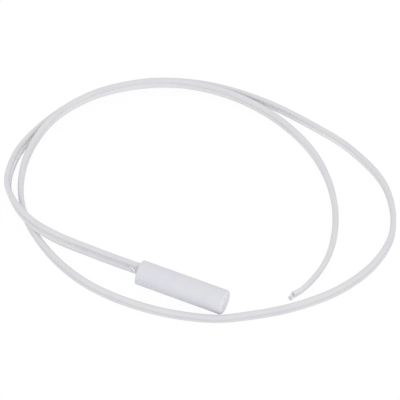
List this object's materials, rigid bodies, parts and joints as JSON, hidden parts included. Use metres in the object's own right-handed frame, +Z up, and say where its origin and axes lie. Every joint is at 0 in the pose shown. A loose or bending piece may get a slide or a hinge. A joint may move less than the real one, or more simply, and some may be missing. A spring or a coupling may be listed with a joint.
{
  "type": "potted temperature sensor",
  "caption": "Closed round plastic sleeve with a potted thermistor, on a thin white twin lead that lies in open loops and ends in bare conductors.",
  "frame": {"origin": "under the middle of the sleeve's length, on the surface that it lies on", "axes": "+X along the sleeve towards its closed tip, +Z up, the lead's loops lie towards +Y"},
  "size_m": [0.1225, 0.0898, 0.0078],
  "materials": {
    "sleeve_plastic": "moulded satin white",
    "lead_insulation": "soft satin white vinyl",
    "potting_resin": "cast, slightly glossy",
    "chip_ceramic": "sintered, matt",
    "coat_resin": "dipped epoxy",
    "tinned_wire": "tinned copper strands",
    "crimp_metal": "tinned, pressed",
    "shrink_tube": "shrunk tube, satin"
  },
  "bodies": {
    "root": {"sleeve": "sleeve_plastic", "potting": "potting_resin", "thermistor_chip": "chip_ceramic", "bead_coat": "coat_resin", "leg_a": "tinned_wire", "leg_b": "tinned_wire", "crimp_barrel_a": "crimp_metal", "crimp_barrel_b": "crimp_metal", "shrink_sleeve_a": "shrink_tube", "shrink_sleeve_b": "shrink_tube", "conductor_a": "tinned_wire", "conductor_b": "tinned_wire", "twin_lead": "lead_insulation", "bare_tip_a": "tinned_wire", "bare_tip_b": "tinned_wire"}
  },
  "joints": []
}
